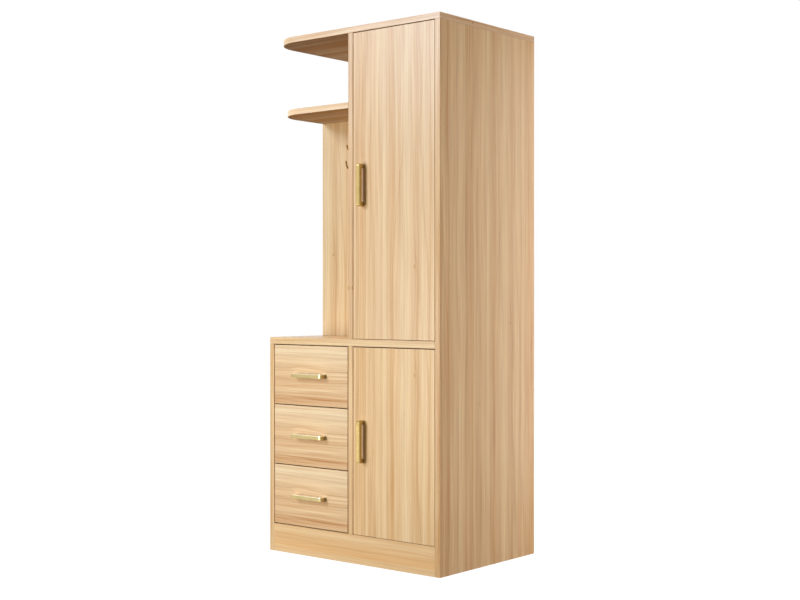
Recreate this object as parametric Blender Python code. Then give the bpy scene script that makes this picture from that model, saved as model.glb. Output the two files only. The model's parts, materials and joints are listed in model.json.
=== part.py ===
"""Hall wardrobe: a tall two-door cabinet beside a three-drawer desk with an open hall bay above.

Units are metres and +Z is up. The front faces -Y, and the origin is the middle of the base
of the whole object, pulls included.
"""

import math

import bmesh
import bpy
from mathutils import Matrix, Vector

# Overall sizes
OVERALL_HEIGHT = 1.800
BODY_DEPTH = 0.535
HALL_BAY_WIDTH = 0.350
CABINET_BAY_WIDTH = 0.350
DESK_HEIGHT = 0.752
HALL_SHELF_HEIGHT = 1.528
KICK_HEIGHT = 0.097

# Boards
BOARD = 0.020
DECK_THICKNESS = 0.024
BACK_THICKNESS = 0.003
EDGE_ROUND = 0.0006
EDGE_ROUND_STEPS = 2
SHARP_ANGLE = math.radians(40)
TOP_CORNER_RADIUS = 0.115
SHELF_CORNER_RADIUS = 0.115
CORNER_STEPS = 20

# Clearances
SEAT_GAP = 0.0003
FRONT_GAP = 0.003
HINGE_SIDE_GAP = 0.0015
DOOR_SILL_GAP = 0.0015
RUNNING_GAP = 0.0004
CUT_OVERRUN = 0.002
WELD_DISTANCE = 0.00001

# Hook panel and coat hook
HOOK_PANEL_SETBACK = 0.251
HOOK_DROP = 0.138
HOOK_PLATE_WIDTH = 0.020
HOOK_PLATE_HEIGHT = 0.070
HOOK_PLATE_THICKNESS = 0.004
HOOK_ROD_DIAMETER = 0.006
HOOK_UPPER_REACH = 0.062
HOOK_UPPER_RISE = 0.044
HOOK_LOWER_REACH = 0.067
HOOK_LOWER_DROP = 0.046
HOOK_ROD_SIDE_STEPS = 3
HOOK_ROD_LENGTH_STEPS = 5
# Places along the rod, from the upper tip: share of the reach out, share of the rise up, girth
UPPER_PRONG_SHARES = (
    (1.00, 1.00, 0.75),
    (0.99, 0.90, 0.95),
    (0.95, 0.76, 1.00),
    (0.76, 0.50, 0.92),
    (0.40, 0.30, 1.00),
    (0.09, 0.08, 1.20),
)
# The same for the lower prong, from the plate: share of the reach, share of the drop, girth
LOWER_PRONG_SHARES = (
    (0.085, 0.20, 1.20),
    (0.26, 0.66, 1.05),
    (0.56, 0.97, 0.95),
    (0.82, 0.86, 0.92),
    (0.97, 0.58, 1.00),
    (1.00, 0.39, 0.95),
    (0.99, 0.30, 0.75),
)

# Pulls
PULL_HOLE_SPACING = 0.128
PULL_LEG_LENGTH = 0.014
PULL_WIDTH = 0.015
PULL_BAR_THICKNESS = 0.014
PULL_PROJECTION = 0.026
PULL_OUTER_RADIUS = 0.007
PULL_INNER_RADIUS = 0.003
PULL_CORNER_STEPS = 4
PULL_EDGE_BEVEL = 0.0025
PULL_EDGE_STEPS = 2
DOOR_PULL_EDGE_DISTANCE = 0.041

# Drawers
DRAWER_COUNT = 3
DRAWER_SIDE_THICKNESS = 0.016
DRAWER_SIDE_HEIGHT = 0.150
DRAWER_SIDE_LENGTH = 0.450
DRAWER_SIDE_LIFT = 0.022
DRAWER_BOTTOM_THICKNESS = 0.003
DRAWER_GROOVE_DEPTH = 0.006
DRAWER_GROOVE_LIFT = 0.010

# Drawer runners, each as long as the drawer side that it carries
RUNNER_LENGTH = DRAWER_SIDE_LENGTH
RUNNER_SPACE = 0.0127
RUNNER_HEIGHT = 0.035
RUNNER_SHEET = 0.0012
RUNNER_SETBACK = 0.004
RUNNER_LIFT = 0.075

# Concealed hinges
HINGE_END_DISTANCE = 0.100
HINGE_CUP_DIAMETER = 0.035
HINGE_CUP_DEPTH = 0.0115
HINGE_CUP_WALL = 0.0015
HINGE_CUP_EDGE_DISTANCE = 0.0225
HINGE_FLANGE_THICKNESS = 0.0016
HINGE_FLANGE_HEIGHT = 0.060
HINGE_FLANGE_WIDTH = 0.022
HINGE_LINK_WIDTH = 0.012
HINGE_LINK_HEIGHT = 0.010
HINGE_ARM_WIDTH = 0.014
HINGE_ARM_THICKNESS = 0.010
HINGE_ARM_LENGTH = 0.062
HINGE_ARM_NOSE = 0.008
HINGE_ARM_CRANK = 0.018
HINGE_PLATE_THICKNESS = 0.006
HINGE_PLATE_HEIGHT = 0.044
HINGE_PLATE_LENGTH = 0.026
CUP_STEPS = 32

# Inside the cabinet
LOWER_SHELF_HEIGHT = 0.404
LOWER_SHELF_SETBACK = 0.030
RAIL_DIAMETER = 0.025
RAIL_WALL = 0.0012
RAIL_DROP = 0.070
SOCKET_FLANGE_DIAMETER = 0.046
SOCKET_FLANGE_THICKNESS = 0.003
SOCKET_COLLAR_WALL = 0.0025
SOCKET_COLLAR_LENGTH = 0.012
RAIL_STEPS = 32

# Places across the width
OVERALL_WIDTH = BOARD + HALL_BAY_WIDTH + BOARD + CABINET_BAY_WIDTH + BOARD
LEFT_X = -OVERALL_WIDTH / 2
HALL_LEFT_X = LEFT_X + BOARD
HALL_RIGHT_X = HALL_LEFT_X + HALL_BAY_WIDTH
CABINET_LEFT_X = HALL_RIGHT_X + BOARD
CABINET_RIGHT_X = CABINET_LEFT_X + CABINET_BAY_WIDTH
RIGHT_X = CABINET_RIGHT_X + BOARD

# Places along the depth
FRONT_Y = (PULL_PROJECTION - BODY_DEPTH) / 2
BACK_Y = FRONT_Y + BODY_DEPTH
INNER_BACK_Y = BACK_Y - BACK_THICKNESS - SEAT_GAP
DOOR_BACK_Y = FRONT_Y + BOARD
HOOK_PANEL_Y = FRONT_Y + HOOK_PANEL_SETBACK

# Places up the height
DECK_UNDER_Z = DESK_HEIGHT - DECK_THICKNESS
SHELF_TOP_Z = HALL_SHELF_HEIGHT + BOARD
HOOK_Z = HALL_SHELF_HEIGHT - HOOK_DROP
TOP_UNDER_Z = OVERALL_HEIGHT - BOARD
FRONTS_LOW_Z = KICK_HEIGHT + FRONT_GAP
FRONTS_HIGH_Z = DECK_UNDER_Z - FRONT_GAP

PULL_LENGTH = PULL_HOLE_SPACING + PULL_LEG_LENGTH
HINGE_CUP_INSET = HINGE_SIDE_GAP + HINGE_CUP_EDGE_DISTANCE


def clear_scene():
    """Remove every object that the scene starts with."""
    for thing in list(bpy.data.objects):
        bpy.data.objects.remove(thing, do_unlink=True)


def finish(name, colour, roughness, metallic):
    """Make a plain Principled material."""
    material = bpy.data.materials.new(name)
    material.use_nodes = True
    shader = material.node_tree.nodes["Principled BSDF"]
    shader.inputs["Base Color"].default_value = (*colour, 1.0)
    shader.inputs["Roughness"].default_value = roughness
    shader.inputs["Metallic"].default_value = metallic
    material.diffuse_color = (*colour, 1.0)
    return material


def make_finishes():
    """Make the finishes that the pieces share."""
    return {
        "foil": finish("oak_foil_board", (0.79, 0.55, 0.31), 0.50, 0.0),
        "drawer_board": finish("drawer_box_board", (0.78, 0.66, 0.50), 0.55, 0.0),
        "hardboard": finish("hardboard", (0.38, 0.22, 0.11), 0.70, 0.0),
        "gold": finish("brushed_gold", (0.63, 0.47, 0.22), 0.32, 1.0),
        "bronze": finish("antique_brass", (0.22, 0.13, 0.05), 0.38, 1.0),
        "zinc": finish("zinc_plated_steel", (0.58, 0.59, 0.60), 0.35, 1.0),
        "chrome": finish("chromed_tube", (0.75, 0.75, 0.76), 0.12, 1.0),
    }


def add_object(name, mesh, material, place, parent=None):
    """Put a mesh in the scene at a world place, carried by a parent if there is one."""
    thing = bpy.data.objects.new(name, mesh)
    bpy.context.scene.collection.objects.link(thing)
    if material and not mesh.materials:
        mesh.materials.append(material)
    thing.location = Vector(place)
    if parent:
        thing.parent = parent
        thing.location -= parent.location
    return thing


def add_pivot(name, place):
    """Add the empty that carries a moving group, on the axis of its joint."""
    pivot = bpy.data.objects.new(name, None)
    bpy.context.scene.collection.objects.link(pivot)
    pivot.location = Vector(place)
    return pivot


def box_mesh(name, size):
    """Make a box centred on its own origin."""
    shape = bmesh.new()
    bmesh.ops.create_cube(shape, size=1.0, matrix=Matrix.Diagonal((*size, 1.0)))
    mesh = bpy.data.meshes.new(name)
    shape.to_mesh(mesh)
    shape.free()
    return mesh


def prism_mesh(name, outline, depth, turn=Matrix.Identity(4)):
    """Extrude a closed outline of (u, v) pairs by depth along w, then turn it into place."""
    shape = bmesh.new()
    corners = [shape.verts.new((u, v, 0.0)) for u, v in outline]
    base = shape.faces.new(corners)
    swept = bmesh.ops.extrude_face_region(shape, geom=[base])
    raised = [item for item in swept["geom"] if isinstance(item, bmesh.types.BMVert)]
    bmesh.ops.translate(shape, verts=raised, vec=(0.0, 0.0, depth))
    bmesh.ops.transform(shape, matrix=turn, verts=shape.verts)
    bmesh.ops.recalc_face_normals(shape, faces=shape.faces)
    mesh = bpy.data.meshes.new(name)
    shape.to_mesh(mesh)
    shape.free()
    return mesh


def turned_mesh(name, profile, steps, turn=Matrix.Identity(4)):
    """Turn a profile of (radius, height) pairs once round the Z axis, then turn it into place."""
    shape = bmesh.new()
    ring = [shape.verts.new((radius, 0.0, height)) for radius, height in profile]
    edges = [shape.edges.new(pair) for pair in zip(ring, ring[1:])]
    bmesh.ops.spin(
        shape,
        geom=ring + edges,
        axis=(0.0, 0.0, 1.0),
        cent=(0.0, 0.0, 0.0),
        angle=math.tau,
        steps=steps,
        use_merge=True,
    )
    bmesh.ops.remove_doubles(shape, verts=shape.verts, dist=WELD_DISTANCE)
    bmesh.ops.transform(shape, matrix=turn, verts=shape.verts)
    bmesh.ops.recalc_face_normals(shape, faces=shape.faces)
    mesh = bpy.data.meshes.new(name)
    shape.to_mesh(mesh)
    shape.free()
    shade_round(mesh)
    return mesh


def shade_round(mesh):
    """Shade a mesh smooth but for its sharp edges."""
    mesh.shade_smooth()
    mesh.set_sharp_from_angle(angle=SHARP_ANGLE)


def arc(centre, radius, start, end, steps):
    """List the points of an arc between two angles in degrees, both ends included."""
    points = []
    for step in range(steps + 1):
        angle = math.radians(start + (end - start) * step / steps)
        points.append((centre[0] + radius * math.cos(angle), centre[1] + radius * math.sin(angle)))
    return points


def round_edges(thing, width, steps):
    """Round the sharp edges of an object with a bevel."""
    bevel = thing.modifiers.new("Rounded edges", "BEVEL")
    bevel.width = width
    bevel.segments = steps
    bevel.limit_method = "ANGLE"
    bevel.angle_limit = SHARP_ANGLE


def combine(thing, tool, operation):
    """Cut, or join, an object with a hidden tool object."""
    step = thing.modifiers.new(operation.title(), "BOOLEAN")
    step.operation = operation
    step.solver = "EXACT"
    step.object = tool
    tool.hide_render = True
    tool.display_type = "WIRE"


def baked_mesh(name, thing, tools):
    """Keep the finished shape of an object as a mesh, and remove it with its tools."""
    graph = bpy.context.evaluated_depsgraph_get()
    mesh = bpy.data.meshes.new_from_object(thing.evaluated_get(graph))
    mesh.name = name
    for used in (thing, *tools):
        bpy.data.objects.remove(used, do_unlink=True)
    return mesh


def board(name, low, high, material, edge=EDGE_ROUND, parent=None):
    """Make a board between two world corners, with lightly rounded edges unless edge is zero."""
    low, high = Vector(low), Vector(high)
    thing = add_object(name, box_mesh(name, high - low), material, (low + high) / 2, parent)
    if edge:
        round_edges(thing, edge, EDGE_ROUND_STEPS)
    return thing


def corner_board(name, low, high, radius, material):
    """Make a level board whose front left corner is rounded."""
    width = high[0] - low[0]
    depth = high[1] - low[1]
    outline = [(width, 0.0), (width, depth), (0.0, depth)]
    outline += arc((radius, radius), radius, 180, 270, CORNER_STEPS)
    thing = add_object(name, prism_mesh(name, outline, high[2] - low[2]), material, low)
    round_edges(thing, EDGE_ROUND, EDGE_ROUND_STEPS)
    shade_round(thing.data)
    return thing


# Carcass


def build_side_panels(finishes):
    """Build the two outer panels, which stand on the floor."""
    foil = finishes["foil"]
    board(
        "right_side_panel",
        (CABINET_RIGHT_X, FRONT_Y, 0.0),
        (RIGHT_X, BACK_Y, TOP_UNDER_Z - SEAT_GAP),
        foil,
    )
    board(
        "left_side_panel",
        (LEFT_X, FRONT_Y, 0.0),
        (HALL_LEFT_X, BACK_Y, DECK_UNDER_Z - SEAT_GAP),
        foil,
    )


def build_centre_panels(finishes):
    """Build the centre panel in two lengths, below and above the deck board."""
    foil = finishes["foil"]
    board(
        "lower_centre_panel",
        (HALL_RIGHT_X, FRONT_Y, KICK_HEIGHT + SEAT_GAP),
        (CABINET_LEFT_X, INNER_BACK_Y, DECK_UNDER_Z - SEAT_GAP),
        foil,
    )
    board(
        "upper_centre_panel",
        (HALL_RIGHT_X, FRONT_Y, DESK_HEIGHT + SEAT_GAP),
        (CABINET_LEFT_X, INNER_BACK_Y, TOP_UNDER_Z - SEAT_GAP),
        foil,
    )


def build_level_boards(finishes):
    """Build the kick, bottom, deck and top boards and the hall shelf."""
    foil = finishes["foil"]
    inner_left = HALL_LEFT_X + SEAT_GAP
    inner_right = CABINET_RIGHT_X - SEAT_GAP
    board(
        "kick_board",
        (inner_left, FRONT_Y, 0.0),
        (inner_right, FRONT_Y + BOARD, KICK_HEIGHT),
        foil,
    )
    board(
        "bottom_board",
        (inner_left, FRONT_Y + BOARD + SEAT_GAP, KICK_HEIGHT - BOARD),
        (inner_right, INNER_BACK_Y, KICK_HEIGHT),
        foil,
    )
    board(
        "deck_board",
        (LEFT_X, FRONT_Y, DECK_UNDER_Z),
        (inner_right, BACK_Y, DESK_HEIGHT),
        foil,
    )
    corner_board(
        "hall_shelf",
        (HALL_LEFT_X, FRONT_Y, HALL_SHELF_HEIGHT),
        (HALL_RIGHT_X - SEAT_GAP, BACK_Y, SHELF_TOP_Z),
        SHELF_CORNER_RADIUS,
        foil,
    )
    corner_board(
        "top_board",
        (LEFT_X, FRONT_Y, TOP_UNDER_Z),
        (RIGHT_X, BACK_Y, OVERALL_HEIGHT),
        TOP_CORNER_RADIUS,
        foil,
    )


def build_upright_panels(finishes):
    """Build the hook panel and the two thin back panels."""
    board(
        "hook_panel",
        (HALL_LEFT_X, HOOK_PANEL_Y, DESK_HEIGHT + SEAT_GAP),
        (HALL_RIGHT_X - SEAT_GAP, HOOK_PANEL_Y + BOARD, HALL_SHELF_HEIGHT - SEAT_GAP),
        finishes["foil"],
    )
    board(
        "upper_back_panel",
        (HALL_RIGHT_X, BACK_Y - BACK_THICKNESS, DESK_HEIGHT + SEAT_GAP),
        (CABINET_RIGHT_X - SEAT_GAP, BACK_Y, TOP_UNDER_Z - SEAT_GAP),
        finishes["hardboard"],
        edge=0.0,
    )
    board(
        "lower_back_panel",
        (HALL_LEFT_X + SEAT_GAP, BACK_Y - BACK_THICKNESS, KICK_HEIGHT - BOARD),
        (CABINET_RIGHT_X - SEAT_GAP, BACK_Y, DECK_UNDER_Z - SEAT_GAP),
        finishes["hardboard"],
        edge=0.0,
    )


def build_lower_shelf(finishes):
    """Build the fixed shelf behind the lower door."""
    board(
        "lower_shelf",
        (CABINET_LEFT_X + SEAT_GAP, DOOR_BACK_Y + LOWER_SHELF_SETBACK, LOWER_SHELF_HEIGHT),
        (CABINET_RIGHT_X - SEAT_GAP, INNER_BACK_Y, LOWER_SHELF_HEIGHT + BOARD),
        finishes["foil"],
    )


# Hanging rail


def build_hanging_rail(finishes):
    """Build the rail tube and the two sockets that hold its ends."""
    radius = RAIL_DIAMETER / 2
    bore = radius + SEAT_GAP
    collar = bore + SOCKET_COLLAR_WALL
    flange = SOCKET_FLANGE_DIAMETER / 2
    rail_y = (DOOR_BACK_Y + INNER_BACK_Y) / 2
    rail_z = TOP_UNDER_Z - RAIL_DROP
    left_x = CABINET_LEFT_X + SEAT_GAP
    right_x = CABINET_RIGHT_X - SEAT_GAP
    tube_inset = SOCKET_FLANGE_THICKNESS + SEAT_GAP
    tube_length = right_x - left_x - tube_inset - tube_inset
    along_x = Matrix.Rotation(math.radians(90), 4, "Y")

    tube_profile = [
        (radius - RAIL_WALL, 0.0),
        (radius, 0.0),
        (radius, tube_length),
        (radius - RAIL_WALL, tube_length),
        (radius - RAIL_WALL, 0.0),
    ]
    tube = turned_mesh("hanging_rail", tube_profile, RAIL_STEPS, along_x)
    add_object("hanging_rail", tube, finishes["chrome"], (left_x + tube_inset, rail_y, rail_z))

    socket_profile = [
        (0.0, 0.0),
        (flange, 0.0),
        (flange, SOCKET_FLANGE_THICKNESS),
        (collar, SOCKET_FLANGE_THICKNESS),
        (collar, SOCKET_COLLAR_LENGTH),
        (bore, SOCKET_COLLAR_LENGTH),
        (bore, SOCKET_FLANGE_THICKNESS),
        (0.0, SOCKET_FLANGE_THICKNESS),
    ]
    socket = turned_mesh("rail_socket", socket_profile, RAIL_STEPS, along_x)
    add_object("rail_socket_left", socket, finishes["chrome"], (left_x, rail_y, rail_z))
    right = add_object("rail_socket_right", socket, finishes["chrome"], (right_x, rail_y, rail_z))
    right.rotation_euler.z = math.radians(180)


# Coat hook


def rod_mesh(name, places):
    """Sweep the hook's round rod through (out, up, girth) places beside the panel."""
    curve = bpy.data.curves.new(name, "CURVE")
    curve.dimensions = "3D"
    curve.bevel_depth = HOOK_ROD_DIAMETER / 2
    curve.bevel_resolution = HOOK_ROD_SIDE_STEPS
    curve.use_fill_caps = True
    curve.resolution_u = HOOK_ROD_LENGTH_STEPS
    spline = curve.splines.new("BEZIER")
    spline.bezier_points.add(len(places) - 1)
    for point, (out, up, girth) in zip(spline.bezier_points, places):
        point.co = (0.0, -out, up)
        point.radius = girth
        point.handle_left_type = "AUTO"
        point.handle_right_type = "AUTO"
    rod = bpy.data.objects.new(name, curve)
    bpy.context.scene.collection.objects.link(rod)
    bpy.context.view_layer.update()
    return baked_mesh(name, rod, ())


def build_coat_hook(finishes):
    """Build the double coat hook, a plate with one rod that makes both prongs."""
    places = [
        (out * HOOK_UPPER_REACH, up * HOOK_UPPER_RISE, girth)
        for out, up, girth in UPPER_PRONG_SHARES
    ]
    places += [
        (out * HOOK_LOWER_REACH, -down * HOOK_LOWER_DROP, girth)
        for out, down, girth in LOWER_PRONG_SHARES
    ]
    hook_x = (HALL_LEFT_X + HALL_RIGHT_X) / 2
    place = (hook_x, HOOK_PANEL_Y, HOOK_Z)
    rod = add_object("coat_hook_rod", rod_mesh("coat_hook_rod", places), None, place)
    half = HOOK_PLATE_WIDTH / 2
    straight = HOOK_PLATE_HEIGHT / 2 - half
    outline = arc((0.0, straight), half, 0, 180, CORNER_STEPS)
    outline += arc((0.0, -straight), half, 180, 360, CORNER_STEPS)
    to_front = Matrix.Rotation(math.radians(90), 4, "X")
    plate_mesh = prism_mesh("coat_hook", outline, HOOK_PLATE_THICKNESS, to_front)
    plate_mesh.transform(Matrix.Translation((0.0, -SEAT_GAP, 0.0)))
    plate = add_object("coat_hook", plate_mesh, finishes["bronze"], place)
    round_edges(plate, HOOK_PLATE_THICKNESS / 4, EDGE_ROUND_STEPS)
    combine(plate, rod, "UNION")
    shade_round(plate.data)


# Pulls


def pull_mesh():
    """Make a bar pull that lies along X and stands out along -Y from its own origin."""
    half = PULL_LENGTH / 2
    inner = half - PULL_LEG_LENGTH
    outer_side = half - PULL_OUTER_RADIUS
    outer_top = PULL_PROJECTION - PULL_OUTER_RADIUS
    inner_side = inner - PULL_INNER_RADIUS
    inner_top = PULL_PROJECTION - PULL_BAR_THICKNESS - PULL_INNER_RADIUS
    steps = PULL_CORNER_STEPS
    outline = [(half, SEAT_GAP)]
    outline += arc((outer_side, outer_top), PULL_OUTER_RADIUS, 0, 90, steps)
    outline += arc((-outer_side, outer_top), PULL_OUTER_RADIUS, 90, 180, steps)
    outline += [(-half, SEAT_GAP), (-inner, SEAT_GAP)]
    outline += arc((-inner_side, inner_top), PULL_INNER_RADIUS, 180, 90, steps)
    outline += arc((inner_side, inner_top), PULL_INNER_RADIUS, 90, 0, steps)
    outline += [(inner, SEAT_GAP)]
    to_front = Matrix.Rotation(math.radians(180), 4, "X")
    to_middle = Matrix.Translation((0.0, 0.0, PULL_WIDTH / 2))
    mesh = prism_mesh("pull", outline, PULL_WIDTH, to_middle @ to_front)
    shade_round(mesh)
    return mesh


def add_pull(name, mesh, place, upright, material, parent):
    """Fix a pull to a front, level or upright."""
    pull = add_object(name, mesh, material, place, parent)
    if upright:
        pull.rotation_euler.y = math.radians(90)
    round_edges(pull, PULL_EDGE_BEVEL, PULL_EDGE_STEPS)


# Doors and their hinges


def hinge_cup_mesh():
    """Make a hinge cup that opens towards +Y, with its links folded away in the middle.

    The flange lies on the plane of the cup's own origin.
    """
    radius = HINGE_CUP_DIAMETER / 2
    upright = Matrix.Rotation(math.radians(90), 4, "X")
    flange_size = (HINGE_FLANGE_WIDTH, HINGE_FLANGE_THICKNESS, HINGE_FLANGE_HEIGHT)
    flange_y = SEAT_GAP + HINGE_FLANGE_THICKNESS / 2
    flange = add_object("cup_flange", box_mesh("cup_flange", flange_size), None, (0.0, flange_y, 0.0))
    mouth = SEAT_GAP + HINGE_FLANGE_THICKNESS
    shell_profile = [
        (0.0, -mouth),
        (radius, -mouth),
        (radius, HINGE_CUP_DEPTH),
        (0.0, HINGE_CUP_DEPTH),
    ]
    shell = add_object(
        "cup_shell", turned_mesh("cup_shell", shell_profile, CUP_STEPS, upright), None, (0.0, 0.0, 0.0)
    )
    hollow_profile = [
        (0.0, -mouth - CUT_OVERRUN),
        (radius - HINGE_CUP_WALL, -mouth - CUT_OVERRUN),
        (radius - HINGE_CUP_WALL, HINGE_CUP_DEPTH - HINGE_CUP_WALL),
        (0.0, HINGE_CUP_DEPTH - HINGE_CUP_WALL),
    ]
    hollow = add_object(
        "cup_hollow", turned_mesh("cup_hollow", hollow_profile, CUP_STEPS, upright), None, (0.0, 0.0, 0.0)
    )
    link_depth = mouth + HINGE_CUP_DEPTH - HINGE_CUP_WALL / 2
    link_size = (HINGE_LINK_WIDTH, link_depth, HINGE_LINK_HEIGHT)
    link_place = (0.0, mouth - link_depth / 2, 0.0)
    link = add_object("cup_link", box_mesh("cup_link", link_size), None, link_place)
    combine(shell, flange, "UNION")
    combine(shell, hollow, "DIFFERENCE")
    combine(shell, link, "UNION")
    mesh = baked_mesh("hinge_cup", shell, (flange, hollow, link))
    shade_round(mesh)
    return mesh


def hinge_arm_mesh():
    """Make a cranked arm with its plate, for a panel at the origin that faces -X."""
    nose_y = HINGE_FLANGE_THICKNESS + SEAT_GAP + SEAT_GAP
    half = HINGE_ARM_THICKNESS / 2
    near_x = SEAT_GAP + HINGE_PLATE_THICKNESS / 2
    far_x = near_x + HINGE_ARM_THICKNESS
    crank_y = nose_y + HINGE_ARM_NOSE + HINGE_ARM_CRANK
    end_y = nose_y + HINGE_ARM_LENGTH
    outline = [
        (-HINGE_CUP_INSET + half, nose_y),
        (-HINGE_CUP_INSET + half, nose_y + HINGE_ARM_NOSE),
        (-near_x, crank_y),
        (-near_x, end_y),
        (-far_x, end_y),
        (-far_x, crank_y),
        (-HINGE_CUP_INSET - half, nose_y + HINGE_ARM_NOSE),
        (-HINGE_CUP_INSET - half, nose_y),
    ]
    to_middle = Matrix.Translation((0.0, 0.0, -HINGE_ARM_WIDTH / 2))
    arm_mesh = prism_mesh("arm", outline, HINGE_ARM_WIDTH, to_middle)
    arm = add_object("arm", arm_mesh, None, (0.0, 0.0, 0.0))
    plate_size = (HINGE_PLATE_THICKNESS, HINGE_PLATE_LENGTH, HINGE_PLATE_HEIGHT)
    plate_place = (
        -SEAT_GAP - HINGE_PLATE_THICKNESS / 2,
        end_y - SEAT_GAP - HINGE_PLATE_LENGTH / 2,
        0.0,
    )
    plate = add_object("arm_plate", box_mesh("arm_plate", plate_size), None, plate_place)
    combine(arm, plate, "UNION")
    return baked_mesh("hinge_arm", arm, (plate,))


def build_door(name, low_z, high_z, pull, cup, arm, finishes):
    """Build a door on its hinge axis, with its pull, its two cups and their arms."""
    left_x = CABINET_LEFT_X + FRONT_GAP
    right_x = CABINET_RIGHT_X - HINGE_SIDE_GAP
    pivot = add_pivot(name + "_axis", (right_x, FRONT_Y, 0.0))
    door = board(
        name,
        (left_x, FRONT_Y, low_z),
        (right_x, DOOR_BACK_Y, high_z),
        finishes["foil"],
        parent=pivot,
    )
    pull_place = (left_x + DOOR_PULL_EDGE_DISTANCE, FRONT_Y, (low_z + high_z) / 2)
    add_pull(name + "_pull", pull, pull_place, True, finishes["gold"], pivot)

    bore = HINGE_CUP_DIAMETER / 2 + SEAT_GAP
    bore_profile = [
        (0.0, -CUT_OVERRUN),
        (bore, -CUT_OVERRUN),
        (bore, HINGE_CUP_DEPTH + SEAT_GAP),
        (0.0, HINGE_CUP_DEPTH + SEAT_GAP),
    ]
    upright = Matrix.Rotation(math.radians(90), 4, "X")
    bore_mesh = turned_mesh("cup_bore", bore_profile, CUP_STEPS, upright)
    cup_x = right_x - HINGE_CUP_EDGE_DISTANCE
    heights = {"top": high_z - HINGE_END_DISTANCE, "bottom": low_z + HINGE_END_DISTANCE}
    for end, height in heights.items():
        cutter = add_object(f"{name}_{end}_bore", bore_mesh, None, (cup_x, DOOR_BACK_Y, height), pivot)
        combine(door, cutter, "DIFFERENCE")
        cup_place = (cup_x, DOOR_BACK_Y, height)
        add_object(f"{name}_{end}_hinge_cup", cup, finishes["zinc"], cup_place, pivot)
        arm_place = (CABINET_RIGHT_X, DOOR_BACK_Y, height)
        add_object(f"{name}_{end}_hinge_arm", arm, finishes["zinc"], arm_place)


# Drawers and their runners


def channel_outline(depth, height):
    """List the section of a channel whose web stands at u = 0 and which opens towards +u."""
    half = height / 2
    return [
        (0.0, -half),
        (depth, -half),
        (depth, -half + RUNNER_SHEET),
        (RUNNER_SHEET, -half + RUNNER_SHEET),
        (RUNNER_SHEET, half - RUNNER_SHEET),
        (depth, half - RUNNER_SHEET),
        (depth, half),
        (0.0, half),
    ]


def side_outline(inward):
    """List the section of a drawer side, its groove towards inward, which is 1 or -1."""
    thick = DRAWER_SIDE_THICKNESS * inward
    groove = (DRAWER_SIDE_THICKNESS - DRAWER_GROOVE_DEPTH) * inward
    low = DRAWER_GROOVE_LIFT
    high = DRAWER_GROOVE_LIFT + DRAWER_BOTTOM_THICKNESS + SEAT_GAP + SEAT_GAP
    return [
        (0.0, 0.0),
        (thick, 0.0),
        (thick, low),
        (groove, low),
        (groove, high),
        (thick, high),
        (thick, DRAWER_SIDE_HEIGHT),
        (0.0, DRAWER_SIDE_HEIGHT),
    ]


def build_drawer(name, low_z, high_z, pull, finishes):
    """Build one drawer with its box, pull and runners."""
    along_y = Matrix.Rotation(math.radians(90), 4, "X")
    pivot_place = ((HALL_LEFT_X + HALL_RIGHT_X) / 2, FRONT_Y, (low_z + high_z) / 2)
    pivot = add_pivot(name + "_axis", pivot_place)
    board(
        name + "_front",
        (HALL_LEFT_X + FRONT_GAP, FRONT_Y, low_z),
        (HALL_RIGHT_X - FRONT_GAP, DOOR_BACK_Y, high_z),
        finishes["foil"],
        parent=pivot,
    )
    add_pull(name + "_pull", pull, pivot_place, False, finishes["gold"], pivot)

    box_low_z = low_z + DRAWER_SIDE_LIFT
    box_high_z = box_low_z + DRAWER_SIDE_HEIGHT
    box_front_y = DOOR_BACK_Y + SEAT_GAP
    box_back_y = box_front_y + DRAWER_SIDE_LENGTH
    left_x = HALL_LEFT_X + RUNNER_SPACE
    right_x = HALL_RIGHT_X - RUNNER_SPACE
    for side, place_x, inward in (("left", left_x, 1), ("right", right_x, -1)):
        side_name = f"{name}_{side}_side"
        mesh = prism_mesh(side_name, side_outline(inward), DRAWER_SIDE_LENGTH, along_y)
        place = (place_x, box_back_y, box_low_z)
        add_object(side_name, mesh, finishes["drawer_board"], place, pivot)

    inner_left_x = left_x + DRAWER_SIDE_THICKNESS
    inner_right_x = right_x - DRAWER_SIDE_THICKNESS
    bottom_low_z = box_low_z + DRAWER_GROOVE_LIFT + SEAT_GAP
    bottom_high_z = bottom_low_z + DRAWER_BOTTOM_THICKNESS
    reach = DRAWER_GROOVE_DEPTH - SEAT_GAP
    board(
        name + "_bottom",
        (inner_left_x - reach, box_front_y, bottom_low_z),
        (inner_right_x + reach, box_back_y, bottom_high_z),
        finishes["hardboard"],
        edge=0.0,
        parent=pivot,
    )
    board(
        name + "_back",
        (inner_left_x + SEAT_GAP, box_back_y - DRAWER_SIDE_THICKNESS, bottom_high_z + SEAT_GAP),
        (inner_right_x - SEAT_GAP, box_back_y, box_high_z),
        finishes["drawer_board"],
        edge=0.0,
        parent=pivot,
    )
    build_runners(name, box_low_z + RUNNER_LIFT, pivot, finishes)


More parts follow.
